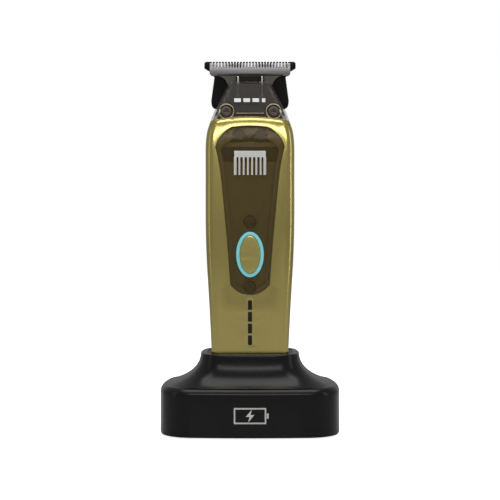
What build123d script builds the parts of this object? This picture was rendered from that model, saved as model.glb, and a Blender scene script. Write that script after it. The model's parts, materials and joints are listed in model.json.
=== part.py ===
import os
from build123d import *

os.makedirs("parts", exist_ok=True)

# Overall sizes, millimetres. Front of the trimmer faces -Y, the feet stand on Z = 0.
dock_width = 87.6
dock_depth = 62.8
shoulder_height = 23.6   # top of the dock's upright block, where the flare starts
shoulder_round = 3.6
collar_top = 38.6        # height of the collar round the trimmer
collar_rim = 3.4         # collar thickness beside the liner, at the sides
collar_rim_deep = 3.9    # the same at the front and back
trimmer_width = 42.8
trimmer_depth = 35.0
seat_height = 19.0       # the trimmer's foot rests at this height
handle_length = 133.6    # from the trimmer's foot to the top of the gold shells
neck_length = 17.8       # from the top of the shells to the top of the neck cover
neck_top_width = 21.6
neck_top_depth = 14.0
crown_radius = 95.0      # arch of the shells' top edge
crown_drop = 0.1         # the arch's highest point below the handle's full height

# Walls and clearances
dock_wall = 2.2
liner_wall = 1.8
shell_wall = 1.8
handle_round = 4.4       # long edges of the gold shells
neck_wall = 1.0
fit_gap = 0.1            # between pieces that are pressed or screwed together
slide_gap = 0.35         # round the trimmer in the dock
button_gap = 0.25
running_gap = 0.05       # round shafts and pins
reach = 200.0            # longer than anything it cuts

# Dock details
foot_height = 0.8
base_thickness = 2.4
foot_radius = 5.0
foot_inset = 12.0
screw_post_radius = 3.0
liner_floor = 3.0
pin_spacing = 12.0
pin_radius = 1.1
pin_travel = 1.0
board_thickness = 1.6
socket_width = 9.0
socket_height = 3.2

# Window, button and lights on the front
window_width = 33.0
window_bottom = 66.9
window_top = 148.0
ring_width = 13.2
ring_height = 21.7
ring_wall = 1.6
button_height = 86.2
button_travel = 0.6
button_proud = 0.7
light_width = 1.87
light_length = 4.65
light_gap = 1.0
light_count = 4
lights_bottom = 42.8

# Drive train
drive_y = -1.5
eccentric = 0.75
motor_radius = 10.0
motor_length = 29.0
shaft_radius = 1.0
cam_radius = 4.0
cam_pin_radius = 1.0
yoke_side_gap = 0.3      # the turning pin runs ahead of the straight slide by up to 0.16
battery_radius = 9.1
battery_length = 50.0

# Head
blade_width = 45.4
cutter_width = 40.0
blade_rise = 29.4        # blade tips above the top of the gold shells
cutter_rise = 28.5       # cutter tips above the top of the gold shells
cutter_front = 2.0
cutter_thickness = 1.6
fixed_thickness = 2.2
tooth_pitch = 1.36
tooth_slot = 0.55
fixed_pitch = 1.5
fixed_slot = 0.45
nub_width = 2.6
wing_width = 38.6
carrier_thickness = 1.8
spring_wire = 0.45
spring_spacing = 11.8
neck_screw_spacing = 22.9
window_screw_spacing = 11.0
window_head = 2.5        # radius of the window screws' heads
bezel_inset = 2.0        # depth of the bezel's front under the outside
back_inset = 3.6         # the same for the plate behind it

# Derived places
collar_width = 0.87 * trimmer_width + 2 * (slide_gap + liner_wall + collar_rim)
collar_depth = 0.88 * trimmer_depth + 2 * (slide_gap + liner_wall + collar_rim_deep)
pin_flange = pin_radius + 0.6
body_top = seat_height + handle_length
neck_top = body_top + neck_length
blade_top = body_top + blade_rise
cutter_top = body_top + cutter_rise
end_cap_top = seat_height + 6.0
base_top = foot_height + base_thickness
liner_bottom = seat_height - liner_floor
board_bottom = base_top + 2.2
board_top = board_bottom + board_thickness
motor_top = body_top - 14.1
motor_bottom = motor_top - motor_length
mount_top = motor_top + 2.5
head_floor = body_top - 3.2
head_deck = body_top + 2.9
cam_bottom = body_top - 1.4
cam_top = body_top + 5.2
yoke_bottom = body_top + 7.4
yoke_top = yoke_bottom + 2.4
fixed_front = cutter_front + cutter_thickness
fixed_back = fixed_front + fixed_thickness
carrier_front = cutter_front - carrier_thickness
neck_cut = cutter_front - 0.4
chassis_front = -7.9
chassis_back = -6.7
pcb_back = chassis_front - fit_gap
pcb_front = pcb_back - 1.2
battery_y = chassis_back + 0.4 + battery_radius
battery_bottom = end_cap_top + 11.0
split_y = 3.0

# Outline of the trimmer: share of the handle height, share of the width, share of the depth
handle_stations = [
    (-0.040, 0.815, 0.830), (0.165, 0.873, 0.885), (0.350, 0.927, 0.940), (0.530, 0.986, 0.985),
    (0.700, 1.000, 1.000), (0.840, 1.000, 0.985), (0.915, 0.992, 0.955), (0.958, 0.950, 0.900),
    (0.987, 0.885, 0.850), (1.020, 0.800, 0.790),
]
# Dock flare: share of the way up from the shoulder to the collar, share of the way in
flare_stations = [(0.0, 0.20), (0.22, 0.60), (0.53, 0.88), (1.0, 1.0)]


def mix(start, end, share):
    return start + (end - start) * share


def bowed_rectangle(width, depth, side_bow, face_bow, corner):
    # four shallow arcs meeting in rounded corners
    x = width / 2 - side_bow
    y = depth / 2 - face_bow
    front = ThreePointArc((-x, -y), (0, -depth / 2), (x, -y))
    right = ThreePointArc((x, -y), (width / 2, 0), (x, y))
    back = ThreePointArc((x, y), (0, depth / 2), (-x, y))
    left = ThreePointArc((-x, y), (-width / 2, 0), (-x, -y))
    face = make_face(Curve() + [front, right, back, left])
    return fillet(face.vertices(), corner)


def block(x0, x1, y0, y1, z0, z1):
    centre = Pos((x0 + x1) / 2, (y0 + y1) / 2, (z0 + z1) / 2)
    return centre * Box(abs(x1 - x0), abs(y1 - y0), abs(z1 - z0))


def slab(bottom, top):
    return block(-reach, reach, -reach, reach, bottom, top)


def rod(x, y, bottom, top, radius):
    return Pos(x, y, (bottom + top) / 2) * Cylinder(radius, top - bottom)


def rod_y(x, z, front, back, radius):
    return Pos(x, (front + back) / 2, z) * Rot(90, 0, 0) * Cylinder(radius, back - front)


def plate_y(face, front, back):
    # a face drawn with x across and y upward, stood up and given depth
    return Pos(0, back, 0) * extrude(Plane.XZ * face, back - front)


def both_sides(piece):
    return piece + mirror(piece, Plane.YZ)


def outline_face(points):
    # smooth sides through the points and their mirror, straight top and bottom
    first_x, first_z = points[0]
    last_x, last_z = points[-1]
    right = Spline(*points)
    left = Spline(*[(-x, z) for x, z in points])
    bottom = Line((-first_x, first_z), (first_x, first_z))
    top = Line((-last_x, last_z), (last_x, last_z))
    return make_face(Curve() + [right, left, bottom, top])


def handle_form(inset):
    # the front outline crossed with the side outline, its four long edges rounded
    front = []
    side = []
    for height, across, deep in handle_stations:
        z = seat_height + handle_length * height
        front.append((trimmer_width * across / 2 - inset, z))
        side.append((trimmer_depth * deep / 2 - inset, z))
    across_solid = Pos(0, reach / 2, 0) * extrude(Plane.XZ * outline_face(front), reach)
    deep_solid = Pos(-reach / 2, 0, 0) * extrude(Plane.YZ * outline_face(side), reach)
    form = across_solid & deep_solid
    long_edges = form.edges().filter_by(lambda edge: edge.bounding_box().size.Z > handle_length / 2)
    return fillet(long_edges, max(handle_round - inset, 0.4))


def neck_form(inset):
    sections = []
    bottom_width = trimmer_width * 0.932
    bottom_depth = trimmer_depth * 0.835
    for share, narrowing in [(-0.13, 0.0), (0.24, 0.265), (0.62, 0.633), (1.0, 1.0)]:
        width = mix(bottom_width, neck_top_width, narrowing) - 2 * inset
        depth = mix(bottom_depth, neck_top_depth, narrowing) - 2 * inset
        section = bowed_rectangle(width, depth, 0.06 * width, 0.04 * depth, 0.11 * depth)
        sections.append(Pos(0, 0, body_top + neck_length * share) * section)
    return loft(sections)


def dock_plan(width, depth, inset):
    wide = width - 2 * inset
    deep = depth - 2 * inset
    return bowed_rectangle(wide, deep, 0.055 * wide, 0.035 * deep, 0.255 * deep)


def dock_form(inset):
    # upright block with a rounded shoulder, and the flare that rises from it to the collar
    low = shoulder_height - inset
    wall = extrude(Pos(0, 0, foot_height) * dock_plan(dock_width, dock_depth, inset), low - foot_height)
    top_edges = wall.edges().filter_by(lambda edge: edge.center().Z > low - 0.01)
    wall = fillet(top_edges, max(shoulder_round - inset, 1.0))
    sections = []
    for up, inward in flare_stations:
        width = mix(dock_width, collar_width, inward)
        depth = mix(dock_depth, collar_depth, inward)
        height = mix(low, collar_top - inset, up)
        sections.append(Pos(0, 0, height) * dock_plan(width, depth, inset))
    return wall + loft(sections)


def crown_rod(grow):
    # the top edge of the gold shells is a shallow arch
    return Pos(0, 0, body_top - crown_drop - crown_radius) * Rot(90, 0, 0) * Cylinder(crown_radius + grow, reach)


def window_face(grow):
    height = window_top - window_bottom
    side = []
    for share, across in [(0.063, 0.285), (0.295, 0.327), (0.561, 0.386), (0.716, 0.426), (0.869, 0.5)]:
        side.append((window_width * across + grow, window_bottom + height * share))
    foot_x, foot_z = side[0]
    shoulder_x, shoulder_z = side[-1]
    top_x = 0.26 * window_width + grow / 2
    top_z = window_bottom + 0.992 * height + grow
    bend_x = 0.446 * window_width + grow
    bend_z = window_bottom + 0.926 * height + grow / 2
    right = Spline(*side)
    left = Spline(*[(-x, z) for x, z in side])
    bend_right = ThreePointArc((shoulder_x, shoulder_z), (bend_x, bend_z), (top_x, top_z))
    bend_left = ThreePointArc((-shoulder_x, shoulder_z), (-bend_x, bend_z), (-top_x, top_z))
    top = ThreePointArc((top_x, top_z), (0, window_top + grow), (-top_x, top_z))
    foot = ThreePointArc((-foot_x, foot_z), (0, window_bottom - grow), (foot_x, foot_z))
    face = make_face(Curve() + [right, bend_right, top, left, bend_left, foot])
    return fillet(face.vertices(), 1.4)


def stadium(x, z, width, height):
    return Pos(x, z) * SlotOverall(height, width, rotation=90)


def ellipse(width, height):
    return Pos(0, button_height) * Ellipse(width / 2, height / 2)


def tooth_slots(width, top, depth, pitch, slot):
    slots = []
    count = int(width / pitch)
    for index in range(count):
        x = (index - (count - 1) / 2) * pitch
        slots.append(Pos(x, top) * Rectangle(slot, 2 * depth))
    return slots


def screw_y(x, z, head_front, head_radius, head_length, length, radius):
    # pan head toward the front, cross slot cut in it
    head_back = head_front + head_length
    head = rod_y(x, z, head_front, head_back, head_radius)
    slot = block(x - 0.3, x + 0.3, head_front - 0.1, head_front + 0.6, z - 1.3, z + 1.3)
    cross = block(x - 1.3, x + 1.3, head_front - 0.1, head_front + 0.6, z - 0.3, z + 0.3)
    return head + rod_y(x, z, head_back, head_back + length, radius) - slot - cross


# Shared forms
outer = handle_form(0.0)
inner = handle_form(shell_wall)
handle_shell = (outer - inner) & slab(end_cap_top, reach) & crown_rod(0.0)
groove_band = crown_rod(-1.6) - crown_rod(-2.0)
handle_shell -= (handle_form(-0.5) - handle_form(0.3)) & groove_band & slab(body_top - 8, reach)
window_hole = plate_y(window_face(fit_gap), -reach, 0)
ring_hole = plate_y(ellipse(ring_width, ring_height), -reach, 0)


def light_places():
    places = []
    for index in range(light_count):
        places.append(lights_bottom + light_length / 2 + index * (light_length + light_gap))
    return places


def light_face(width, length, index):
    # the lowest bar has a round foot and the highest a round head
    z = light_places()[index]
    bar = Pos(0, z) * Rectangle(width, length)
    if index == 0:
        bar = fillet(bar.vertices().sort_by(Axis.Y)[:2], 0.45 * width)
    if index == light_count - 1:
        bar = fillet(bar.vertices().sort_by(Axis.Y)[-2:], 0.45 * width)
    return bar


def build_front_shell():
    front = handle_shell & block(-reach, reach, -reach, split_y, 0, reach)
    front -= window_hole
    for index in range(light_count):
        front -= plate_y(light_face(light_width + fit_gap, light_length + fit_gap, index), -reach, 0)
    return front


rear_screw_places = [end_cap_top + 5.0, motor_bottom - 12.5]


def build_rear_shell():
    rear = handle_shell & block(-reach, reach, split_y, reach, 0, reach)
    for z in rear_screw_places:
        rear -= rod_y(0, z, split_y, reach, 2.6)
    return rear


def rear_skin(z):
    section = outer & block(-0.5, 0.5, 0, reach, z - 0.5, z + 0.5)
    return section.bounding_box().max.Y


def build_rear_screws():
    screws = Part()
    for z in rear_screw_places:
        end = rear_skin(z) - 0.5
        screw = rod_y(0, z, end - 1.3, end, 2.5) + rod_y(0, z, end - 5.0, end - 1.3, 1.2)
        screws += screw - block(-0.3, 0.3, end - 0.6, reach, z - 1.3, z + 1.3)
    return screws


def build_window_panel():
    panel = (outer - inner) & plate_y(window_face(0.0), -reach, 0)
    panel -= plate_y(ellipse(ring_width + fit_gap, ring_height + fit_gap), -reach, 0)
    return panel


window_screw_top = (window_screw_spacing / 2, window_top - 4.4)
window_screw_middle = (0, window_bottom + 35.0)
window_screw_low = (0, window_bottom + 3.6)


def window_screw_places():
    x, z = window_screw_top
    return [(x, z), (-x, z), window_screw_middle, window_screw_low]


def bezel_front(z):
    section = inner & block(-0.5, 0.5, -reach, 0, z - 0.5, z + 0.5)
    return section.bounding_box().min.Y


def window_skin(front_inset, back_inset, face):
    return (handle_form(front_inset) - handle_form(back_inset)) & plate_y(face, -reach, 0)


def build_window_bezel():
    # rim round the inside of the window, its opening arched at the top
    arch_radius = 0.505 * window_width
    arch_centre = window_top - 4.0 - arch_radius
    arch = Pos(0, arch_centre) * Circle(arch_radius)
    arch += Pos(0, arch_centre - reach / 2) * Rectangle(2 * arch_radius, reach)
    opening = window_face(-2.2) & arch
    bezel = window_skin(bezel_inset, bezel_inset + 1.0, window_face(0.7))
    bezel -= plate_y(opening, -reach, 0)
    for x, z in window_screw_places():
        bezel -= rod_y(x, z, -reach, 0, window_head + fit_gap)
    return bezel


def build_window_back():
    plate = window_skin(back_inset, back_inset + 1.0, window_face(0.3))
    plate &= slab(0, motor_top + 2.0)
    plate -= plate_y(ellipse(ring_width, ring_height), -reach, 0)
    for x, z in window_screw_places():
        plate -= rod_y(x, z, -reach, 0, 1.25)
    return plate


def build_motor_band():
    band = window_skin(bezel_inset + 1.1, back_inset - 0.05, window_face(-1.5))
    return band & slab(motor_top - 7.5, motor_top - 0.5)


def build_window_screws():
    # domed heads seen through the window, shanks into the posts behind
    screws = Part()
    skin = handle_form(bezel_inset) - handle_form(bezel_inset + 1.15)
    for x, z in window_screw_places():
        front = bezel_front(z)
        screws += skin & rod_y(x, z, -reach, 0, window_head)
        screws += rod_y(x, z, front + 0.8, front + 6.5, 1.2)
    return screws


def build_light_pipes():
    pipes = Part()
    for index in range(light_count):
        bar = plate_y(light_face(light_width, light_length, index), -reach, 0)
        pipes += bar & (outer - handle_form(shell_wall + 1.0))
    return pipes


def build_leds():
    leds = Part()
    for z in light_places():
        leds += block(-0.8, 0.8, pcb_front - 0.8, pcb_front, z - 1.2, z + 1.2)
    return leds


def ring_front():
    section = outer & block(-0.5, 0.5, -reach, 0, button_height - 0.5, button_height + 0.5)
    return section.bounding_box().min.Y


button_face_y = ring_front()
ring_back = button_face_y + shell_wall + 1.2


def build_light_ring():
    ring = ellipse(ring_width, ring_height) - ellipse(ring_width - 2 * ring_wall, ring_height - 2 * ring_wall)
    ring_solid = plate_y(ring, button_face_y - 5, ring_back)
    skin = handle_form(-0.3) & ring_solid
    flange = ellipse(ring_width - 0.8, ring_height - 0.8)
    flange -= ellipse(ring_width - 2 * ring_wall, ring_height - 2 * ring_wall)
    inside_part = ring_solid & inner
    return (skin - inside_part) + plate_y(flange, button_face_y + shell_wall - 0.4, ring_back)


def build_power_button():
    wide = ring_width - 2 * ring_wall - 2 * button_gap
    tall = ring_height - 2 * ring_wall - 2 * button_gap
    cap = plate_y(ellipse(wide, tall), button_face_y - button_proud, ring_back + 0.1)
    cap = fillet(cap.edges().filter_by(GeomType.ELLIPSE).sort_by(Axis.Y)[0], 0.5)
    flange = plate_y(ellipse(wide + 2.2, tall + 2.2), ring_back + 0.1, ring_back + 0.9)
    return cap + flange


button_back = ring_back + 0.9
switch_front = button_back + button_travel + 0.5


def build_switch_housing():
    body = block(-3.0, 3.0, switch_front, pcb_front, button_height - 3.0, button_height + 3.0)
    return body - rod_y(0, button_height, switch_front - 1, switch_front + 1.6, 1.6 + running_gap * 2)


def build_switch_plunger():
    return rod_y(0, button_height, button_back, switch_front + 0.7, 1.6)


def build_end_cap():
    cap = outer & slab(seat_height, end_cap_top)
    cavity = inner & slab(seat_height + 2.2, end_cap_top + 1)
    cap -= cavity
    for x in (-pin_spacing / 2, pin_spacing / 2):
        cap -= rod(x, 0, seat_height - 1, seat_height + 4, 2.5 + fit_gap)
    cap -= block(-4.6, 4.6, 5.4, 8.8, seat_height - 1, end_cap_top + 3)
    return cap


def build_charge_contacts():
    pads = Part()
    for x in (-pin_spacing / 2, pin_spacing / 2):
        pads += rod(x, 0, seat_height, seat_height + 2.4, 2.5)
    return pads


def build_charging_socket():
    body = block(-4.5, 4.5, 5.5, 8.7, seat_height + 0.3, seat_height + 7.5)
    hollow = block(-4.1, 4.1, 5.9, 8.3, seat_height, seat_height + 6.5)
    tongue = block(-3.2, 3.2, 6.8, 7.4, seat_height + 1.5, seat_height + 7.0)
    return body - hollow + tongue


def build_inner_chassis():
    top = motor_bottom - 3.6
    half = 0.29 * trimmer_width
    plate = block(-half, half, chassis_front, chassis_back, end_cap_top + 2, top)
    for x, z in (window_screw_middle, window_screw_low):
        front = bezel_front(z) + 2.95
        post = rod_y(x, z, front, chassis_front, 2.6) - rod_y(x, z, front - 1, front + 4.3, 1.25)
        plate += post
    for z in rear_screw_places:
        back = rear_skin(z) - 1.8 - fit_gap
        plate += rod_y(0, z, chassis_back, back, 2.4) - rod_y(0, z, back - 4.5, back + 1, 1.25)
    return plate


def build_main_board():
    half = 0.24 * trimmer_width
    board = block(-half, half, pcb_front, pcb_back, end_cap_top + 3, motor_bottom - 4.4)
    for x, z in (window_screw_middle, window_screw_low):
        board -= rod_y(x, z, pcb_front - 1, pcb_back + 1, 2.6 + fit_gap)
    return board


def build_battery_cell():
    cell = rod(0, battery_y, battery_bottom, battery_bottom + battery_length, battery_radius)
    nub = rod(0, battery_y, battery_bottom + battery_length, battery_bottom + battery_length + 1.0, 2.8)
    return fillet(cell.edges(), 0.6) + nub


def build_battery_holder():
    radius = battery_radius + fit_gap
    bottom = battery_bottom - 3.0
    top = battery_bottom + battery_length + 3.0
    ring = rod(0, battery_y, bottom, top, radius + 1.0) - rod(0, battery_y, bottom + 2.0, top - 1.2, radius)
    window = block(-radius - 2, radius + 2, battery_y + 0.35 * radius, reach, bottom + 8, top - 8)
    keep = block(-reach, reach, chassis_back, reach, bottom, top)
    return (ring & keep) - window


def build_battery_tabs():
    low = block(-3, 3, battery_y - 3, battery_y + 3, battery_bottom - 0.9, battery_bottom - 0.1)
    end = battery_bottom + battery_length
    high = block(-3, 3, battery_y - 3, battery_y + 3, end + 1.05, end + 1.6)
    return low + high


def build_motor_can():
    can = rod(0, drive_y, motor_bottom, motor_top, motor_radius)
    can = fillet(can.edges(), 1.2)
    can -= rod(0, drive_y, motor_bottom - 1, motor_top + 1, 2.0)
    return can


def build_motor_end_cap():
    cap = rod(0, drive_y, motor_bottom - 3.0, motor_bottom, motor_radius - 1.4)
    return cap - rod(0, drive_y, motor_bottom - 1.2, motor_bottom + 1, shaft_radius + 0.6)


def build_motor_terminals():
    tabs = Part()
    for x in (-5.0, 5.0):
        tabs += block(x - 1, x + 1, drive_y - 0.2, drive_y + 0.2, motor_bottom - 7.0, motor_bottom - 3.0)
    return tabs


def build_motor_mount():
    ring = handle_form(back_inset + 1.1) & slab(motor_top, mount_top)
    ring -= rod(0, drive_y, motor_top - 1, mount_top + 1, 3.4)
    x, z = window_screw_top
    for side in (-x, x):
        front = bezel_front(z) + 2.2
        ring += rod_y(side, z, front, drive_y - cam_radius - 0.5, 2.4)
        ring += block(side - 2.4, side + 2.4, front + 1.4, drive_y - cam_radius - 0.5, mount_top - 0.5, z)
        ring -= rod_y(side, z, front - 2, front + 4.8, 1.3)
    skirt = rod(0, drive_y, motor_top - 6.0, motor_top, motor_radius + 0.8)
    skirt -= rod(0, drive_y, motor_top - 7.0, motor_top + 1, motor_radius + fit_gap)
    return ring + skirt


def build_shaft_bush():
    # sits in the top of the motor can
    bush = rod(0, drive_y, motor_top - 3.0, motor_top + 1.5, 2.0 - 0.02)
    return bush - rod(0, drive_y, motor_top - 4, motor_top + 2, shaft_radius + running_gap)


def build_drive_shaft():
    return rod(0, drive_y, motor_bottom - 1.0, cam_top - 1.5, shaft_radius)


def build_eccentric_cam():
    cam = rod(0, drive_y, cam_bottom, cam_top, cam_radius)
    cam = chamfer(cam.edges(), 0.4)
    cam -= rod(0, drive_y, cam_bottom - 1, cam_top - 1.5, shaft_radius)
    return cam - block(-1.0, 1.0, drive_y + 2.6, drive_y + 6, cam_bottom - 1, cam_top + 1)


def build_cam_pin():
    y = drive_y - eccentric
    return fillet(rod(0, y, cam_top, yoke_top + 0.8, cam_pin_radius).edges().sort_by(Axis.Z)[-1:], 0.4)


blade_screw_x = 9.3
blade_screw_z = body_top + 9.4


def build_head_base():
    lip = body_top - 0.13 * neck_length    # the neck cover's lowest edge
    base = handle_form(shell_wall + 0.4) & slab(head_floor, lip - fit_gap)
    inside_neck = neck_form(neck_wall + 1.3) & handle_form(shell_wall + 0.4)
    base += inside_neck & slab(lip, head_deck)
    base += block(-0.3 * trimmer_width, 0.3 * trimmer_width, -8, 8, head_floor, lip + 1)
    for side in (-1, 1):
        x = side * blade_screw_x
        boss_x = side * neck_screw_spacing / 2
        base += block(x - 2.4, x + 2.4, -2.6, fixed_front, head_deck - 1, blade_screw_z + 3.0)
        base += rod_y(boss_x, neck_screw_z, boss_front, -3.0, 3.1)
    for side in (-1, 1):
        x = side * blade_screw_x
        boss_x = side * neck_screw_spacing / 2
        spring_x = side * spring_spacing / 2
        base -= rod_y(x, blade_screw_z, -2.0, fixed_front + 1, 1.25)
        base -= rod_y(boss_x, neck_screw_z, -reach, boss_front, 4.1)
        base -= rod_y(boss_x, neck_screw_z, boss_front - 1, boss_front + 5.0, 1.25)
        base -= rod(spring_x, spring_y, head_deck - 3.0, reach, spring_wire + running_gap)
    return base - rod(0, drive_y, head_floor - 1, head_deck + 1, cam_radius + 0.8)


spring_y = -1.6
neck_screw_z = body_top + 2.7


def neck_front(z, inset):
    section = neck_form(inset) & block(9.9, 13.9, -reach, 0, z - 2.4, z + 2.4)
    return section.bounding_box().min.Y


boss_front = neck_front(neck_screw_z, neck_wall) + 2.6


def build_neck_cover():
    cover = neck_form(0.0) - neck_form(neck_wall)
    cover -= crown_rod(0.12)
    cover -= block(-reach, reach, neck_cut, reach, body_top + 4.6, reach)
    for side in (-1, 1):
        cover -= rod_y(side * neck_screw_spacing / 2, neck_screw_z, -reach, 0, 3.9)
    return cover


def build_neck_washers():
    # rings that fill the holes in the cover, flush with its sloping face
    washers = Part()
    for side in (-1, 1):
        x = side * neck_screw_spacing / 2
        ring = rod_y(x, neck_screw_z, -reach, boss_front, 3.85) - rod_y(x, neck_screw_z, -reach, 0, 3.35)
        washers += (ring & neck_form(-0.15)) - crown_rod(0.12)
    return washers


def build_neck_screws():
    screws = Part()
    for side in (-1, 1):
        x = side * neck_screw_spacing / 2
        screws += screw_y(x, neck_screw_z, boss_front - 1.7, 2.6, 1.7, 4.5, 1.2)
    return screws


def build_neck_panel():
    panel = neck_form(neck_wall + 0.1) - neck_form(neck_wall + 0.9)
    panel &= block(-reach, reach, -reach, -3.4, body_top + 1.7, neck_top - 0.9)
    panel -= build_neck_clear()
    solids = panel.solids().sort_by(SortBy.VOLUME)
    return Part() + solids[-1]


def build_neck_clear():
    clear = Part()
    for side in (-1, 1):
        clear += rod_y(side * neck_screw_spacing / 2, neck_screw_z, -reach, 0, 4.3)
    return clear


def build_fixed_blade():
    top_half = blade_width / 2
    wing_half = wing_width / 2
    outline = [
        (top_half, blade_top), (top_half, blade_top - 3.2), (top_half - 2.6, blade_top - 4.6),
        (wing_half - 1.6, blade_top - 7.6), (wing_half, blade_top - 19.5), (wing_half - 0.4, body_top + 6.0),
    ]
    points = outline + [(-x, z) for x, z in reversed(outline)]
    face = make_face(Polyline(*points, close=True))
    low = face.vertices().sort_by(Axis.Y)[:2]
    face = fillet(low, 2.6)
    face = fillet(face.vertices().sort_by(Axis.Y)[-2:], 1.2)
    for slot in tooth_slots(blade_width - 2 * nub_width, blade_top, 2.6, fixed_pitch, fixed_slot):
        face -= slot
    blade = plate_y(face, fixed_front, fixed_back)
    for side in (-1, 1):
        blade -= rod_y(side * blade_screw_x, blade_screw_z, fixed_front - 1, fixed_back + 1, 1.45)
    edge = block(-reach, reach, fixed_front + 1.3, reach, blade_top - 3.6, blade_top + 1)
    return blade - edge


def build_blade_screws():
    screws = Part()
    for side in (-1, 1):
        x = side * blade_screw_x
        head = rod_y(x, blade_screw_z, fixed_back, fixed_back + 1.6, 2.6)
        head = fillet(head.edges().sort_by(Axis.Y)[-1], 0.6)
        shank = rod_y(x, blade_screw_z, fixed_back - 6.0, fixed_back, 1.2)
        slot = block(x - 1.8, x + 1.8, fixed_back + 0.9, reach, blade_screw_z - 0.35, blade_screw_z + 0.35)
        screws += head + shank - slot
    return screws


bar_bottom = cutter_top - 6.3


def build_moving_blade():
    half = cutter_width / 2
    bar = Polyline((half, cutter_top), (half, bar_bottom + 1.0), (half - 1.0, bar_bottom),
                   (1.0 - half, bar_bottom), (-half, bar_bottom + 1.0), (-half, cutter_top), close=True)
    face = make_face(bar)
    for slot in tooth_slots(cutter_width - 1.0, cutter_top, 2.3, tooth_pitch, tooth_slot):
        face -= slot
    blade = plate_y(face, cutter_front, fixed_front)
    # bevels along the tooth tips and along the lower edge of the bar
    tips = Polyline((cutter_front - 0.1, cutter_top + 0.1), (cutter_front + 0.75, cutter_top + 0.1),
                    (cutter_front - 0.1, cutter_top - 2.2), close=True)
    edge = Polyline((cutter_front - 0.1, bar_bottom - 0.1), (cutter_front + 0.9, bar_bottom - 0.1),
                    (cutter_front - 0.1, bar_bottom + 1.2), close=True)
    for wedge in (tips, edge):
        blade -= Pos(-reach / 2, 0, 0) * extrude(Plane.YZ * make_face(wedge), reach)
    return blade


def build_cutter_stem():
    # black plate under the bar, its sides sweeping in to the neck
    arm_x, arm_z = 11.2, bar_bottom - 4.0
    foot_z = bar_bottom - 7.2
    right = [
        ThreePointArc((16.5, bar_bottom), (12.9, bar_bottom - 1.4), (arm_x, arm_z)),
        Line((arm_x, arm_z), (9.4, foot_z)),
    ]
    left = [mirror(edge, Plane.YZ) for edge in right]
    ends = [Line((-16.5, bar_bottom), (16.5, bar_bottom)), Line((-9.4, foot_z), (9.4, foot_z))]
    stem = plate_y(make_face(Curve() + right + left + ends), cutter_front, fixed_front)
    for side in (-1, 1):
        stem -= rod_y(side * 4.0, peg_z, 0, reach, 1.0)
    return stem


peg_z = cutter_top - 12.2


carrier_low = cutter_top - 9.1


def build_cutter_carrier():
    bar = block(-7.0, 7.0, carrier_front, cutter_front, carrier_low, cutter_top - 6.8)
    stem = block(-4.5, 4.5, carrier_front, cutter_front, yoke_bottom, carrier_low)
    tab = block(-3.6, 3.6, drive_y - 3.4, cutter_front, yoke_bottom, yoke_top)
    slot_half = cam_pin_radius + yoke_side_gap
    front = drive_y - eccentric - cam_pin_radius - 0.35
    slot = block(-slot_half, slot_half, front, drive_y + cam_pin_radius + 0.35, yoke_bottom - 1, yoke_top + 1)
    carrier = bar + stem + tab - slot
    for side in (-1, 1):
        x = side * spring_spacing / 2
        z = spring_tip_z
        carrier -= block(x - 1.45, x + 1.45, carrier_front - 1, carrier_front + 0.7, z - 0.65, z + 0.65)
        carrier += rod_y(side * 4.0, peg_z, cutter_front, cutter_front + 1.2, 0.95)
    return carrier


spring_tip_z = cutter_top - 7.6


def build_tension_springs():
    springs = Part()
    for side in (-1, 1):
        x = side * spring_spacing / 2
        leg = rod(x, spring_y, head_deck - 2.8, spring_tip_z, spring_wire)
        tip = rod_y(x, spring_tip_z, spring_y, carrier_front + 0.65, spring_wire)
        bend = Pos(x, spring_y, spring_tip_z) * Sphere(spring_wire)
        springs += leg + tip + bend
    return springs


def liner_outer():
    return handle_form(-slide_gap - liner_wall) & slab(liner_bottom, collar_top - 0.4)


def corner_places(x, y):
    return [(x, y), (-x, y), (-x, -y), (x, -y)]


post_x = dock_width / 2 - foot_inset
post_y = dock_depth / 2 - foot_inset


def build_dock_shell():
    shape = dock_form(0.0)
    rim = shape.edges().filter_by(lambda edge: edge.center().Z > collar_top - 0.01)
    shape = fillet(rim, 0.9)
    shell = shape - (dock_form(dock_wall) & slab(-1, reach))
    shell -= slab(-1, foot_height)
    for x, y in corner_places(post_x, post_y):
        post = rod(x, y, base_top, collar_top, screw_post_radius) & shape
        shell += post
        shell -= rod(x, y, base_top - 1, base_top + 8, 1.25)
    shell -= liner_outer() + slab(collar_top - 0.41, reach) & handle_form(-slide_gap - liner_wall)
    shell -= block(-socket_width / 2 - 0.2, socket_width / 2 + 0.2, 20, reach, board_top - 0.1,
                   board_top + socket_height + 0.2)
    return shell


def build_dock_liner():
    cup = liner_outer() - (handle_form(-slide_gap) & slab(seat_height, reach))
    for x in (-pin_spacing / 2, pin_spacing / 2):
        cup -= rod(x, 0, liner_bottom - 1, seat_height + 1, pin_radius + running_gap * 2)
    return cup


def build_dock_base():
    plate = dock_form(dock_wall + fit_gap) & slab(foot_height, base_top)
    for x, y in corner_places(11.0, 10.0):
        plate += rod(x, y, base_top, board_bottom, 2.4)
        plate -= rod(x, y, base_top - 1.0, board_bottom + 1, 1.0)
    for x, y in corner_places(post_x, post_y):
        plate -= rod(x, y, 0, base_top + 1, 1.45)
        plate -= rod(x, y, 0, foot_height + 1.2, foot_radius + 0.1)
    return plate


def build_dock_feet():
    feet = Part()
    for x, y in corner_places(post_x, post_y):
        foot = rod(x, y, 0, foot_height + 0.5, foot_radius)
        feet += fillet(foot.edges().sort_by(Axis.Z)[0], 0.3)
    return feet


def build_dock_screws():
    screws = Part()
    for x, y in corner_places(post_x, post_y):
        head = rod(x, y, foot_height + 0.55, foot_height + 1.2, 2.4)
        screws += head + rod(x, y, foot_height + 1.2, base_top + 6.0, 1.2)
    return screws


def build_dock_board():
    board = block(-14, 14, -13, dock_depth / 2 - dock_wall - 1.0, board_bottom, board_top)
    for x, y in corner_places(11.0, 10.0):
        board -= rod(x, y, board_bottom - 1, board_top + 1, 1.1)
    return board


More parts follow.
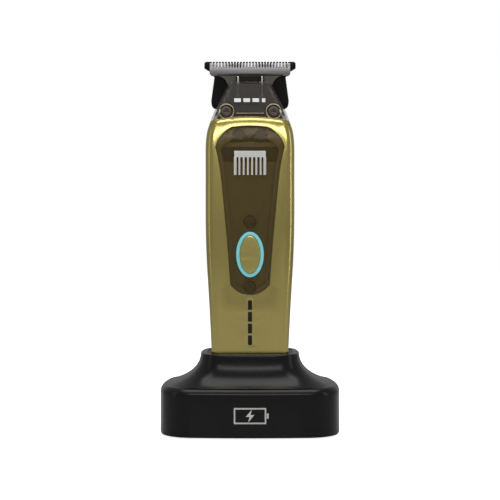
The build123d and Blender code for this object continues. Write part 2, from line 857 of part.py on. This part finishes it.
def build_board_screws():
    screws = Part()
    for x, y in corner_places(11.0, 10.0):
        screws += rod(x, y, board_top, board_top + 1.0, 2.0) + rod(x, y, base_top - 0.8, board_top, 0.98)
    return screws


def build_dock_socket():
    back = dock_depth / 2 - 0.8
    half = socket_width / 2
    body = block(-half, half, back - 8.5, back, board_top, board_top + socket_height)
    hollow = block(-half + 0.5, half - 0.5, back - 7.0, back + 1, board_top + 0.5, board_top + socket_height - 0.5)
    middle = board_top + socket_height / 2
    return body - hollow + block(-half + 1.2, half - 1.2, back - 7.5, back - 0.6, middle - 0.3, middle + 0.3)


def build_pin_block():
    body = block(-pin_spacing / 2 - 3.4, pin_spacing / 2 + 3.4, -4.0, 4.0, board_top, liner_bottom)
    for x in (-pin_spacing / 2, pin_spacing / 2):
        body -= rod(x, 0, pin_floor, flange_top + 0.1, pin_flange + 0.15)
        body -= rod(x, 0, flange_top, liner_bottom + 1, pin_radius + running_gap * 2)
    return body


flange_top = liner_bottom - 2.4
flange_bottom = flange_top - 1.0
pin_floor = board_top + 0.6


def build_contact_pin(x):
    tip = fillet(rod(x, 0, flange_top, seat_height, pin_radius).edges().sort_by(Axis.Z)[-1:], 0.5)
    flange = rod(x, 0, flange_bottom, flange_top, pin_flange)
    return tip + flange + rod(x, 0, pin_floor + pin_travel + 0.3, flange_bottom, 0.8)


def build_pin_spring(x):
    wire = 0.2
    low = pin_floor + wire
    height = flange_bottom - low - wire
    path = Pos(x, 0, low) * Helix(height / 5, height, 1.25)
    return sweep(Plane(path @ 0, z_dir=path % 0) * Circle(wire), path=path)


def build_ballast():
    side = block(17.5, dock_width / 2 - 17.0, -13, 13, base_top, base_top + 6.0)
    return both_sides(fillet(side.edges().filter_by(Axis.Z), 3.0))


pieces = {
    "dock_shell": build_dock_shell(),
    "dock_well_liner": build_dock_liner(),
    "dock_base_plate": build_dock_base(),
    "dock_rubber_feet": build_dock_feet(),
    "dock_screws": build_dock_screws(),
    "dock_circuit_board": build_dock_board(),
    "dock_board_screws": build_board_screws(),
    "dock_power_socket": build_dock_socket(),
    "dock_pin_block": build_pin_block(),
    "dock_ballast_weights": build_ballast(),
    "contact_pin_left": build_contact_pin(-pin_spacing / 2),
    "contact_pin_right": build_contact_pin(pin_spacing / 2),
    "pin_spring_left": build_pin_spring(-pin_spacing / 2),
    "pin_spring_right": build_pin_spring(pin_spacing / 2),
    "front_shell": build_front_shell(),
    "rear_shell": build_rear_shell(),
    "rear_screws": build_rear_screws(),
    "end_cap": build_end_cap(),
    "charge_contacts": build_charge_contacts(),
    "charging_socket": build_charging_socket(),
    "window_panel": build_window_panel(),
    "window_bezel": build_window_bezel(),
    "window_back_plate": build_window_back(),
    "motor_band": build_motor_band(),
    "window_screws": build_window_screws(),
    "indicator_light_pipes": build_light_pipes(),
    "indicator_leds": build_leds(),
    "button_light_ring": build_light_ring(),
    "power_button": build_power_button(),
    "switch_housing": build_switch_housing(),
    "switch_plunger": build_switch_plunger(),
    "inner_chassis": build_inner_chassis(),
    "main_circuit_board": build_main_board(),
    "battery_cell": build_battery_cell(),
    "battery_holder": build_battery_holder(),
    "battery_tabs": build_battery_tabs(),
    "motor_can": build_motor_can(),
    "motor_end_cap": build_motor_end_cap(),
    "motor_terminals": build_motor_terminals(),
    "motor_mount": build_motor_mount(),
    "shaft_bush": build_shaft_bush(),
    "drive_shaft": build_drive_shaft(),
    "eccentric_cam": build_eccentric_cam(),
    "cam_pin": build_cam_pin(),
    "head_base": build_head_base(),
    "neck_cover": build_neck_cover(),
    "neck_inner_panel": build_neck_panel(),
    "neck_washers": build_neck_washers(),
    "neck_screws": build_neck_screws(),
    "cutter_carrier": build_cutter_carrier(),
    "moving_blade": build_moving_blade(),
    "cutter_stem": build_cutter_stem(),
    "fixed_blade": build_fixed_blade(),
    "blade_screws": build_blade_screws(),
    "tension_springs": build_tension_springs(),
}

for name, piece in pieces.items():
    export_step(piece, f"parts/{name}.step")
    print(name, round(piece.volume, 2), len(piece.solids()), piece.is_valid)
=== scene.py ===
import bpy
import json
import math
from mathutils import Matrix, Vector
from mathutils.bvhtree import BVHTree


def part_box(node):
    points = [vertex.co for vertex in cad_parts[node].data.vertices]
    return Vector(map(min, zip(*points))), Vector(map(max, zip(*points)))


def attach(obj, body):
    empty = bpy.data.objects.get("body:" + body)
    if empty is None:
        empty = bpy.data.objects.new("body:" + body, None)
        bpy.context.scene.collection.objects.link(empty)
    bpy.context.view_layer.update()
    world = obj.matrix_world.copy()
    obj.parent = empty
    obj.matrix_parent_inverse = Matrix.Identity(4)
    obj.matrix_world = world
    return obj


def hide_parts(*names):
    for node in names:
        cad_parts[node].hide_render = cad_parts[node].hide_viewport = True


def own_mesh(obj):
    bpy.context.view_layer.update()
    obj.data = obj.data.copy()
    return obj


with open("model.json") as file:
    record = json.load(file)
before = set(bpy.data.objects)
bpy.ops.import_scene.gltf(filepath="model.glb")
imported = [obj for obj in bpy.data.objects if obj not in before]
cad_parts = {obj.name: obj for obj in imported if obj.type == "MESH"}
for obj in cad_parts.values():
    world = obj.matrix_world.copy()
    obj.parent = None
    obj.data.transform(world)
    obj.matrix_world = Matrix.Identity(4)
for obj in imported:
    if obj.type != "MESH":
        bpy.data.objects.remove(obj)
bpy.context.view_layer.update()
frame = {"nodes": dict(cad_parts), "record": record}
nodes = frame["nodes"]
mm = 0.001
print("frame loaded:", len(nodes), "nodes")


# helpers
def selectNone():
    bpy.ops.object.select_all(action="DESELECT")
    bpy.context.view_layer.objects.active = None


def activate(piece):
    selectNone()
    piece.select_set(True)
    bpy.context.view_layer.objects.active = piece


def applyModifier(piece, kind, **settings):
    activate(piece)
    modifier = piece.modifiers.new(kind.title(), kind)
    for key, value in settings.items():
        setattr(modifier, key, value)
    bpy.ops.object.modifier_apply(modifier=modifier.name)


def settle(piece):
    # place, turn and size go into the mesh
    activate(piece)
    bpy.ops.object.transform_apply(location=True, rotation=True, scale=True)


def mergeClose(piece):
    activate(piece)
    bpy.ops.object.mode_set(mode="EDIT")
    bpy.ops.mesh.select_all(action="SELECT")
    bpy.ops.mesh.remove_doubles(threshold=0.000002)
    bpy.ops.object.mode_set(mode="OBJECT")


def copyNode(nodeName, pieceName):
    # a merged copy of the machined shape, ready to be worked on
    piece = nodes[nodeName].copy()
    piece.data = nodes[nodeName].data.copy()
    piece.parent = None
    for key in list(piece.keys()):
        del piece[key]
    piece.name = pieceName
    bpy.context.scene.collection.objects.link(piece)
    mergeClose(piece)
    return piece


def softenEdges(piece, width, segments, angle):
    # flat faces become single faces first, so that the bevel runs clean
    activate(piece)
    bpy.ops.object.mode_set(mode="EDIT")
    bpy.ops.mesh.select_all(action="SELECT")
    bpy.ops.mesh.dissolve_limited(angle_limit=math.radians(0.01))
    bpy.ops.object.mode_set(mode="OBJECT")
    applyModifier(piece, "BEVEL", width=width * mm, segments=segments, limit_method="ANGLE",
                  angle_limit=math.radians(angle), harden_normals=False, use_clamp_overlap=True)
    activate(piece)
    bpy.ops.object.shade_smooth_by_angle(angle=math.radians(angle))


surfaceTrees = {}
farInFront = -0.2  # rays start here, well clear of the dock


def frontOf(nodeName, x, z):
    # y of the first surface met from the front, metres
    if nodeName not in surfaceTrees:
        mesh = nodes[nodeName].data
        corners = [v.co.copy() for v in mesh.vertices]
        surfaceTrees[nodeName] = BVHTree.FromPolygons(corners, [tuple(p.vertices) for p in mesh.polygons])
    place = surfaceTrees[nodeName].ray_cast(Vector((x, farInFront, z)), Vector((0, 1, 0)))[0]
    return place.y if place else None


def layOnFront(piece, nodeName, proud, sunk):
    # the front half of the piece stands proud of the node's surface, the back half is sunk in it
    middle = sum(v.co.y for v in piece.data.vertices) / len(piece.data.vertices)
    for vertex in piece.data.vertices:
        surface = frontOf(nodeName, vertex.co.x, vertex.co.z)
        if surface is not None:
            vertex.co.y = surface - proud * mm if vertex.co.y < middle else surface + sunk * mm
    mergeClose(piece)


def dress(piece, material):
    piece.data.materials.clear()
    piece.data.materials.append(material)


def finishPiece(piece, slotName, body, standsFor=None):
    dress(piece, materials[slotName])
    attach(piece, body)
    if standsFor:
        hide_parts(standsFor)


# materials
plainLook = {"stretch": (1, 1, 1), "driftScale": 60, "wear": 0.25, "grainScale": 1500, "bump": 0.1,
             "metal": 0, "specular": 0.5, "coat": 0, "alpha": 1}  # what a look has where it says nothing else
edgeWear = {"starts": 0.53, "full": 0.62}  # pointiness of a worn edge
bumpDepth = 0.00003
coatRoughness = 0.05


def surfaceMaterial(name, choices):
    # colour drifts between two shades, fine grain sets roughness and bump, edges wear lighter
    look = {**plainLook, **choices}
    material = bpy.data.materials.new(name)
    material.use_nodes = True
    tree = material.node_tree
    shader = tree.nodes["Principled BSDF"]
    place = tree.nodes.new("ShaderNodeTexCoord")

    drift = tree.nodes.new("ShaderNodeTexNoise")
    drift.inputs["Scale"].default_value = look["driftScale"]
    drift.inputs["Detail"].default_value = 3
    tree.links.new(place.outputs["Object"], drift.inputs["Vector"])
    shade = tree.nodes.new("ShaderNodeMix")
    shade.data_type = "RGBA"
    shade.inputs["A"].default_value = (*look["color"], 1)
    shade.inputs["B"].default_value = (*look["shade"], 1)
    tree.links.new(drift.outputs["Fac"], shade.inputs["Factor"])

    edge = tree.nodes.new("ShaderNodeNewGeometry")
    edgeRamp = tree.nodes.new("ShaderNodeMapRange")
    edgeRamp.inputs["From Min"].default_value = edgeWear["starts"]
    edgeRamp.inputs["From Max"].default_value = edgeWear["full"]
    edgeRamp.inputs["To Max"].default_value = look["wear"]
    tree.links.new(edge.outputs["Pointiness"], edgeRamp.inputs["Value"])
    worn = tree.nodes.new("ShaderNodeMix")
    worn.data_type = "RGBA"
    tree.links.new(edgeRamp.outputs["Result"], worn.inputs["Factor"])
    tree.links.new(shade.outputs["Result"], worn.inputs["A"])
    paler = [min(1, channel * 1.8 + 0.02) for channel in look["color"]]
    worn.inputs["B"].default_value = (*look.get("worn", paler), 1)
    tree.links.new(worn.outputs["Result"], shader.inputs["Base Color"])

    spread = tree.nodes.new("ShaderNodeMapping")
    spread.inputs["Scale"].default_value = look["stretch"]
    tree.links.new(place.outputs["Object"], spread.inputs["Vector"])
    grain = tree.nodes.new("ShaderNodeTexNoise")
    grain.inputs["Scale"].default_value = look["grainScale"]
    grain.inputs["Detail"].default_value = 2
    tree.links.new(spread.outputs["Vector"], grain.inputs["Vector"])
    rough = tree.nodes.new("ShaderNodeMapRange")
    rough.inputs["To Min"].default_value, rough.inputs["To Max"].default_value = look["rough"]
    tree.links.new(grain.outputs["Fac"], rough.inputs["Value"])
    tree.links.new(rough.outputs["Result"], shader.inputs["Roughness"])
    bump = tree.nodes.new("ShaderNodeBump")
    bump.inputs["Strength"].default_value = look["bump"]
    bump.inputs["Distance"].default_value = bumpDepth
    tree.links.new(grain.outputs["Fac"], bump.inputs["Height"])
    tree.links.new(bump.outputs["Normal"], shader.inputs["Normal"])

    shader.inputs["Metallic"].default_value = look["metal"]
    shader.inputs["Specular IOR Level"].default_value = look["specular"]
    shader.inputs["Coat Weight"].default_value = look["coat"]
    shader.inputs["Coat Roughness"].default_value = coatRoughness
    shader.inputs["Alpha"].default_value = look["alpha"]
    if "glow" in look:
        shader.inputs["Emission Color"].default_value = (*look["glow"], 1)
        shader.inputs["Emission Strength"].default_value = look["glowStrength"]
    return material


finishes = {
    "dock_black": {"color": (0.004, 0.004, 0.0045), "shade": (0.006, 0.006, 0.0065), "rough": (0.2, 0.3),
                   "bump": 0.04, "specular": 0.22, "grainScale": 900},
    "liner_black": {"color": (0.02, 0.02, 0.02), "shade": (0.03, 0.03, 0.03), "rough": (0.35, 0.5),
                    "bump": 0.1},
    "base_black": {"color": (0.02, 0.02, 0.02), "shade": (0.035, 0.035, 0.035), "rough": (0.5, 0.7),
                   "bump": 0.3},
    "foot_rubber": {"color": (0.02, 0.02, 0.02), "shade": (0.04, 0.04, 0.04), "rough": (0.7, 0.9),
                    "bump": 0.4},
    "screw_steel": {"color": (0.5, 0.49, 0.47), "shade": (0.36, 0.35, 0.33), "rough": (0.2, 0.38),
                    "metal": 1},
    "board_green": {"color": (0.01, 0.09, 0.04), "shade": (0.015, 0.13, 0.05), "rough": (0.3, 0.45),
                    "grainScale": 600, "bump": 0.2},
    "socket_steel": {"color": (0.55, 0.55, 0.56), "shade": (0.45, 0.45, 0.46), "rough": (0.22, 0.35),
                     "metal": 1},
    "contact_brass": {"color": (0.8, 0.56, 0.22), "shade": (0.66, 0.45, 0.17), "rough": (0.15, 0.3),
                      "metal": 1},
    "spring_steel": {"color": (0.75, 0.75, 0.76), "shade": (0.6, 0.6, 0.6), "rough": (0.15, 0.25),
                     "metal": 1},
    "ballast_iron": {"color": (0.2, 0.2, 0.2), "shade": (0.13, 0.13, 0.13), "rough": (0.5, 0.7),
                     "metal": 1},
    "gold_shell": {"color": (0.5, 0.42, 0.13), "shade": (0.54, 0.45, 0.145), "rough": (0.2, 0.27),
                   "metal": 1,
                   "stretch": (1, 1, 0.04), "grainScale": 2600, "bump": 0.03, "coat": 0.4, "wear": 0.1,
                   "worn": (0.85, 0.76, 0.32)},
    "end_cap_black": {"color": (0.02, 0.02, 0.02), "shade": (0.03, 0.03, 0.03), "rough": (0.4, 0.55)},
    "smoked_window": {"color": (0.075, 0.05, 0.015), "shade": (0.09, 0.06, 0.018), "rough": (0.06, 0.12),
                      "alpha": 0.45, "bump": 0.01, "specular": 0.15},
    "smoked_neck": {"color": (0.045, 0.04, 0.032), "shade": (0.055, 0.048, 0.04), "rough": (0.06, 0.12),
                    "alpha": 0.35, "bump": 0.01, "specular": 0.5},
    "bezel_brown": {"color": (0.56, 0.45, 0.2), "shade": (0.48, 0.39, 0.17), "rough": (0.35, 0.5),
                    "metal": 0.6},
    "chassis_black": {"color": (0.05, 0.04, 0.022), "shade": (0.07, 0.055, 0.03), "rough": (0.4, 0.6),
                      "bump": 0.2},
    "light_pipe": {"color": (0.012, 0.009, 0.004), "shade": (0.018, 0.014, 0.006), "rough": (0.25, 0.35),
                   "specular": 0.2},
    "led_white": {"color": (0.7, 0.7, 0.65), "shade": (0.6, 0.6, 0.5), "rough": (0.2, 0.3)},
    "ring_glow": {"color": (0.2, 0.5, 0.55), "shade": (0.25, 0.6, 0.62), "rough": (0.25, 0.35),
                  "glow": (0.11, 0.42, 0.5), "glowStrength": 0.35, "bump": 0.03},
    "button_gold": {"color": (0.56, 0.48, 0.15), "shade": (0.62, 0.53, 0.18), "rough": (0.22, 0.3),
                    "metal": 1, "bump": 0.05, "coat": 0.3},
    "switch_black": {"color": (0.02, 0.02, 0.02), "shade": (0.03, 0.03, 0.03), "rough": (0.4, 0.5)},
    "battery_wrap": {"color": (0.02, 0.1, 0.3), "shade": (0.03, 0.13, 0.36), "rough": (0.25, 0.35)},
    "holder_grey": {"color": (0.08, 0.08, 0.08), "shade": (0.1, 0.1, 0.1), "rough": (0.5, 0.6)},
    "tab_nickel": {"color": (0.6, 0.58, 0.52), "shade": (0.5, 0.48, 0.44), "rough": (0.25, 0.4),
                   "metal": 1},
    "motor_steel": {"color": (0.45, 0.45, 0.46), "shade": (0.35, 0.35, 0.36), "rough": (0.25, 0.4),
                    "metal": 1, "stretch": (1, 1, 0.1)},
    "motor_cap_white": {"color": (0.7, 0.69, 0.64), "shade": (0.6, 0.59, 0.55), "rough": (0.4, 0.5)},
    "bush_bronze": {"color": (0.5, 0.33, 0.14), "shade": (0.4, 0.27, 0.12), "rough": (0.3, 0.45),
                    "metal": 1},
    "shaft_steel": {"color": (0.65, 0.65, 0.66), "shade": (0.55, 0.55, 0.56), "rough": (0.12, 0.2),
                    "metal": 1},
    "cam_nylon": {"color": (0.6, 0.59, 0.55), "shade": (0.5, 0.49, 0.46), "rough": (0.4, 0.5)},
    "head_black": {"color": (0.1, 0.085, 0.055), "shade": (0.12, 0.1, 0.065), "rough": (0.35, 0.5),
                   "bump": 0.15, "metal": 0.4},
    "neck_panel_grey": {"color": (0.09, 0.084, 0.08), "shade": (0.105, 0.098, 0.094),
                        "rough": (0.4, 0.55), "specular": 0.3, "bump": 0.1},
    "washer_gold": {"color": (0.34, 0.3, 0.18), "shade": (0.28, 0.24, 0.14), "rough": (0.25, 0.35),
                    "metal": 1},
    "screw_black": {"color": (0.08, 0.065, 0.06), "shade": (0.1, 0.08, 0.075), "rough": (0.35, 0.5),
                    "metal": 0.8},
    "carrier_black": {"color": (0.004, 0.004, 0.004), "shade": (0.006, 0.006, 0.006),
                      "rough": (0.35, 0.5), "specular": 0.15},
    "stem_bronze": {"color": (0.13, 0.115, 0.085), "shade": (0.16, 0.14, 0.1), "rough": (0.35, 0.5),
                    "metal": 0.5},
    "window_screw_brown": {"color": (0.16, 0.12, 0.07), "shade": (0.2, 0.15, 0.09), "rough": (0.35, 0.5),
                           "metal": 0.7},
    "cutter_steel": {"color": (0.3, 0.29, 0.29), "shade": (0.25, 0.245, 0.245), "rough": (0.3, 0.45),
                     "metal": 1, "stretch": (1, 1, 0.08), "grainScale": 2500, "bump": 0.12},
    "blade_black": {"color": (0.003, 0.003, 0.0025), "shade": (0.005, 0.0045, 0.004),
                    "rough": (0.4, 0.55), "specular": 0.12, "wear": 0.1},
}
materials = {name: surfaceMaterial(name, look) for name, look in finishes.items()}
slotOfNode = {entry["node"]: entry["material_slot"] for entry in frame["record"]["subparts"]}
for nodeName, node in nodes.items():
    dress(node, materials[slotOfNode[nodeName]])
print("materials made:", len(materials))


# pieces that keep the machined shape, with worked edges
workedNodes = {
    # node: (body, edge width mm, segments, angle)
    "dock_shell": ("dock", 0.25, 3, 40),
    "dock_well_liner": ("dock", 0.2, 2, 40),
    "front_shell": ("trimmer", 0.18, 3, 40),
    "rear_shell": ("trimmer", 0.18, 3, 40),
    "window_panel": ("trimmer", 0.22, 3, 40),
    "window_bezel": ("trimmer", 0.15, 2, 40),
    "window_back_plate": ("trimmer", 0.1, 2, 40),
    # motor_band is a dark strip that stands for painted shade in the deep recess behind the window
    "motor_band": ("trimmer", 0.1, 2, 40),
    "window_screws": ("trimmer", 0.3, 3, 40),
    "power_button": ("button", 0.12, 2, 40),
    "button_light_ring": ("trimmer", 0.12, 2, 40),
    "indicator_light_pipes": ("trimmer", 0.05, 2, 40),
    "neck_cover": ("trimmer", 0.25, 3, 32),
    "neck_inner_panel": ("trimmer", 0.12, 2, 40),
    "neck_washers": ("trimmer", 0.15, 2, 40),
    "neck_screws": ("trimmer", 0.12, 2, 40),
    "head_base": ("trimmer", 0.15, 2, 40),
    "moving_blade": ("cutter", 0.05, 2, 30),
    "cutter_stem": ("cutter", 0.08, 2, 30),
    "cutter_carrier": ("cutter", 0.12, 2, 40),
    "fixed_blade": ("trimmer", 0.06, 2, 30),
    "blade_screws": ("trimmer", 0.12, 2, 40),
    "tension_springs": ("trimmer", 0.02, 1, 60),
    "end_cap": ("trimmer", 0.2, 2, 40),
    "rear_screws": ("trimmer", 0.12, 2, 40),
}
for nodeName, (body, width, segments, angle) in workedNodes.items():
    piece = copyNode(nodeName, nodeName + "_worked")
    softenEdges(piece, width, segments, angle)
    finishPiece(piece, slotOfNode[nodeName], body, nodeName)
print("worked pieces:", len(workedNodes))


# the coil springs under the charging pins (in the real dock they shorten as their pins are pressed), each
# given a mesh of its own
for side in ("left", "right"):
    nodeName = "pin_spring_" + side
    spring = copyNode(nodeName, nodeName + "_worked")
    bpy.ops.object.shade_smooth_by_angle(angle=math.radians(40))
    finishPiece(spring, slotOfNode[nodeName], "dock", nodeName)
    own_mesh(spring)
print("springs set")


# marks, all generic
markLook = {"color": (0.7, 0.69, 0.66), "shade": (0.6, 0.59, 0.56), "rough": (0.3, 0.4), "metal": 0.5}
markMaterial = surfaceMaterial("printed_silver", markLook)


plainBar = {"startY": -30.0, "depth": 1.0, "cuts": 6}


def addBar(name, x, z, width, height):
    # a flat bar facing the front, cut into strips so that it can follow a curved face
    bpy.ops.mesh.primitive_cube_add(size=1, location=(x * mm, plainBar["startY"] * mm, z * mm))
    bar = bpy.context.object
    bar.name = name
    bar.scale = (width * mm, plainBar["depth"] * mm, height * mm)
    settle(bar)
    bpy.ops.object.mode_set(mode="EDIT")
    bpy.ops.mesh.select_all(action="SELECT")
    bpy.ops.mesh.subdivide(number_cuts=plainBar["cuts"])
    bpy.ops.object.mode_set(mode="OBJECT")
    return bar


def joinPieces(pieces, name):
    selectNone()
    for piece in pieces:
        piece.select_set(True)
    bpy.context.view_layer.objects.active = pieces[0]
    bpy.ops.object.join()
    pieces[0].name = name
    return pieces[0]


combMark = {"centreZ": 130.0, "width": 15.0, "spineHeight": 3.0, "spineUp": 4.3, "toothHeight": 8.6,
            "toothTop": 2.9, "toothCount": 8, "toothWidth": 0.85, "endTooth": 1.5,
            "proud": 0.06, "sunk": 0.1}


def buildCombMark():
    toothWidth = combMark["toothWidth"]
    spineZ = combMark["centreZ"] + combMark["spineUp"]
    bars = [addBar("spine", 0, spineZ, combMark["width"], combMark["spineHeight"])]
    pitch = (combMark["width"] - toothWidth) / (combMark["toothCount"] - 1)
    toothZ = combMark["centreZ"] + combMark["toothTop"] - combMark["toothHeight"] / 2
    for index in range(combMark["toothCount"]):
        x = -combMark["width"] / 2 + toothWidth / 2 + index * pitch
        atEnd = index in (0, combMark["toothCount"] - 1)
        width = toothWidth * (combMark["endTooth"] if atEnd else 1)
        bars.append(addBar("tooth", x, toothZ, width, combMark["toothHeight"]))
    mark = joinPieces(bars, "window_comb_mark")
    layOnFront(mark, "window_panel", combMark["proud"], combMark["sunk"])
    return mark


neckMark = {"z": 160.9, "height": 1.9, "proud": 0.05, "sunk": 0.1,
            "bars": ((-6.0, 3.2), (-1.6, 3.2), (2.8, 3.2), (6.6, 1.6))}  # each bar's centre and width


def buildNeckMark():
    bars = [addBar("bar", x, neckMark["z"], width, neckMark["height"]) for x, width in neckMark["bars"]]
    mark = joinPieces(bars, "neck_bar_mark")
    layOnFront(mark, "neck_cover", neckMark["proud"], neckMark["sunk"])
    return mark


dockMark = {
    "z": 11.2, "startY": -30.0, "boltDepth": 0.5, "proud": 0.06, "sunk": 0.1,
    "bolt": ((0.9, 3.0), (-2.0, -0.4), (-0.2, -0.4), (-0.9, -3.0), (2.0, 0.5), (0.2, 0.5)),
    # the battery's outline and its small terminal: centre x, height over the mark's middle, width, height
    "outline": ((0, 3.4, 15, 0.7), (0, -3.4, 15, 0.7), (-7.2, 0, 0.7, 6.4),
                (7.2, 0, 0.7, 6.4), (8.2, 0, 1.0, 2.4)),
}


def buildDockMark():
    curve = bpy.data.curves.new("bolt", "CURVE")
    curve.dimensions = "2D"
    curve.fill_mode = "BOTH"
    curve.extrude = dockMark["boltDepth"] * mm
    spline = curve.splines.new("POLY")
    spline.points.add(len(dockMark["bolt"]) - 1)
    for point, (x, z) in zip(spline.points, dockMark["bolt"]):
        point.co = (x * mm, z * mm, 0, 1)
    spline.use_cyclic_u = True
    bolt = bpy.data.objects.new("bolt", curve)
    bpy.context.scene.collection.objects.link(bolt)
    bolt.rotation_euler = (math.radians(90), 0, 0)
    bolt.location = (0, dockMark["startY"] * mm, dockMark["z"] * mm)
    activate(bolt)
    bpy.ops.object.convert(target="MESH")
    settle(bolt)
    bars = [bolt]
    for x, up, width, height in dockMark["outline"]:
        bars.append(addBar("side", x, dockMark["z"] + up, width, height))
    mark = joinPieces(bars, "dock_charge_mark")
    layOnFront(mark, "dock_shell", dockMark["proud"], dockMark["sunk"])
    return mark


# dark rings round the screws behind the window
screwRim = {"radius": 2.8, "halfWidth": 0.32, "flatness": 0.25, "sunk": 0.02, "headRadius": 2.5,
            "middleRise": 31.4}  # middleRise: the middle screw above the lowest one


def buildScrewRims():
    low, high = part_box("window_screws")
    head = screwRim["headRadius"]
    sideX = high[0] / mm - head
    topZ = high[2] / mm - head
    lowZ = low[2] / mm + head
    rims = []
    for x, z in ((sideX, topZ), (-sideX, topZ), (0, lowZ + screwRim["middleRise"]), (0, lowZ)):
        front = frontOf("window_screws", x * mm, z * mm)
        selectNone()
        bpy.ops.mesh.primitive_torus_add(major_segments=64, minor_segments=12, location=(0, 0, 0),
                                         rotation=(math.radians(90), 0, 0),
                                         major_radius=screwRim["radius"] * mm,
                                         minor_radius=screwRim["halfWidth"] * mm)
        rim = bpy.context.object
        settle(rim)
        rim.scale = (1, screwRim["flatness"], 1)
        rim.location = (x * mm, front + screwRim["sunk"] * mm, z * mm)
        settle(rim)
        bpy.ops.object.shade_smooth()
        rims.append(rim)
    return joinPieces(rims, "window_screw_rims")


finishPiece(buildScrewRims(), "end_cap_black", "trimmer")


# thin lines on the neck: the panel's lower edge, and the two spring wires seen through the cover
neckTrim = {"edgeZ": 154.3, "edgeWidth": 13.4, "edgeHeight": 0.4, "wireX": 5.9, "wireZ": 165.5,
            "wireLength": 8.0, "wireWidth": 0.28, "proud": 0.04, "sunk": 0.1}


def buildNeckEdge():
    edge = addBar("neck_panel_edge", 0, neckTrim["edgeZ"], neckTrim["edgeWidth"], neckTrim["edgeHeight"])
    layOnFront(edge, "neck_cover", neckTrim["proud"], neckTrim["sunk"])
    return edge


def buildNeckWires():
    wireX, width, length = neckTrim["wireX"], neckTrim["wireWidth"], neckTrim["wireLength"]
    sides = [addBar("wire", x, neckTrim["wireZ"], width, length) for x in (-wireX, wireX)]
    wires = joinPieces(sides, "neck_spring_lines")
    layOnFront(wires, "neck_inner_panel", neckTrim["proud"], neckTrim["sunk"])
    return wires


finishPiece(buildNeckEdge(), "washer_gold", "trimmer")
finishPiece(buildNeckWires(), "spring_steel", "trimmer")
print("trim laid")

for mark, body in ((buildCombMark(), "trimmer"), (buildNeckMark(), "trimmer"), (buildDockMark(), "dock")):
    dress(mark, markMaterial)
    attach(mark, body)
print("marks laid")


# floor, lights and camera
studio = {
    "floorSize": 6.0,
    "floorLook": {"color": (0.93, 0.93, 0.93), "shade": (0.9, 0.9, 0.9), "rough": (0.7, 0.8),
                  "driftScale": 2, "bump": 0.0},
    "floorReflected": (0.5, 0.5, 0.5),  # what the glossy dock sees of the floor
    "paperGlow": 0.85,
    "surround": 0.33,
    "cameraHeight": 0.0884,
    "cameraDistance": 0.533,
    "lens": 77.7,
    "filmWidth": 36,
}


def showDirectly(tree, direct, reflected, output):
    # one shader where the camera looks straight at it, another in reflections and bounced light
    seen = tree.nodes.new("ShaderNodeLightPath")
    choose = tree.nodes.new("ShaderNodeMixShader")
    tree.links.new(seen.outputs["Is Camera Ray"], choose.inputs["Fac"])
    tree.links.new(reflected, choose.inputs[1])
    tree.links.new(direct, choose.inputs[2])
    tree.links.new(choose.outputs["Shader"], output.inputs["Surface"])


selectNone()
bpy.ops.mesh.primitive_plane_add(size=studio["floorSize"], location=(0, 0, 0))
floor = bpy.context.object
floor.name = "studio_floor"
floorMaterial = surfaceMaterial("floor_white", studio["floorLook"])
floorTree = floorMaterial.node_tree
paper = floorTree.nodes.new("ShaderNodeEmission")
paper.inputs["Strength"].default_value = studio["paperGlow"]
bright = floorTree.nodes.new("ShaderNodeAddShader")
floorTree.links.new(floorTree.nodes["Principled BSDF"].outputs["BSDF"], bright.inputs[0])
floorTree.links.new(paper.outputs["Emission"], bright.inputs[1])
dim = floorTree.nodes.new("ShaderNodeBsdfDiffuse")
dim.inputs["Color"].default_value = (*studio["floorReflected"], 1)
showDirectly(floorTree, bright.outputs["Shader"], dim.outputs["BSDF"], floorTree.nodes["Material Output"])
dress(floor, floorMaterial)

cameraData = bpy.data.cameras.new("front_camera")
cameraData.lens = studio["lens"]
cameraData.sensor_width = studio["filmWidth"]
camera = bpy.data.objects.new("front_camera", cameraData)
camera.location = (0, -studio["cameraDistance"], studio["cameraHeight"])
camera.rotation_euler = (math.radians(90), 0, 0)
bpy.context.scene.collection.objects.link(camera)
bpy.context.scene.camera = camera

softboxes = {
    # name: place, size, power, aimed at
    "top_box": ((0.0, -0.1, 0.8), (0.8, 0.5), 4.2, (0, 0, 0.05)),
    "front_band": ((0.0, -1.0, 0.62), (0.8, 0.2), 2.6, (0, 0, 0.14)),
    "left_strip": ((-0.7, -0.2, 0.2), (0.1, 0.7), 0.2, (0, 0, 0.1)),
    "right_strip": ((0.7, -0.2, 0.2), (0.1, 0.7), 0.5, (0, 0, 0.1)),
}
for name, (place, size, power, aim) in softboxes.items():
    lightData = bpy.data.lights.new(name, "AREA")
    lightData.shape = "RECTANGLE"
    lightData.size, lightData.size_y = size
    lightData.energy = power
    light = bpy.data.objects.new(name, lightData)
    light.location = place
    light.rotation_euler = (Vector(aim) - Vector(place)).to_track_quat("-Z", "Y").to_euler()
    bpy.context.scene.collection.objects.link(light)

world = bpy.data.worlds.new("studio_surround")
bpy.context.scene.world = world
world.use_nodes = True
tree = world.node_tree
background = tree.nodes["Background"]
background.inputs["Color"].default_value = (1, 1, 1, 1)
background.inputs["Strength"].default_value = studio["surround"]
white = tree.nodes.new("ShaderNodeBackground")
white.inputs["Color"].default_value = (1, 1, 1, 1)
showDirectly(tree, white.outputs["Background"], background.outputs["Background"],
             tree.nodes["World Output"])
bpy.context.scene.view_settings.view_transform = "Standard"
print("studio set")
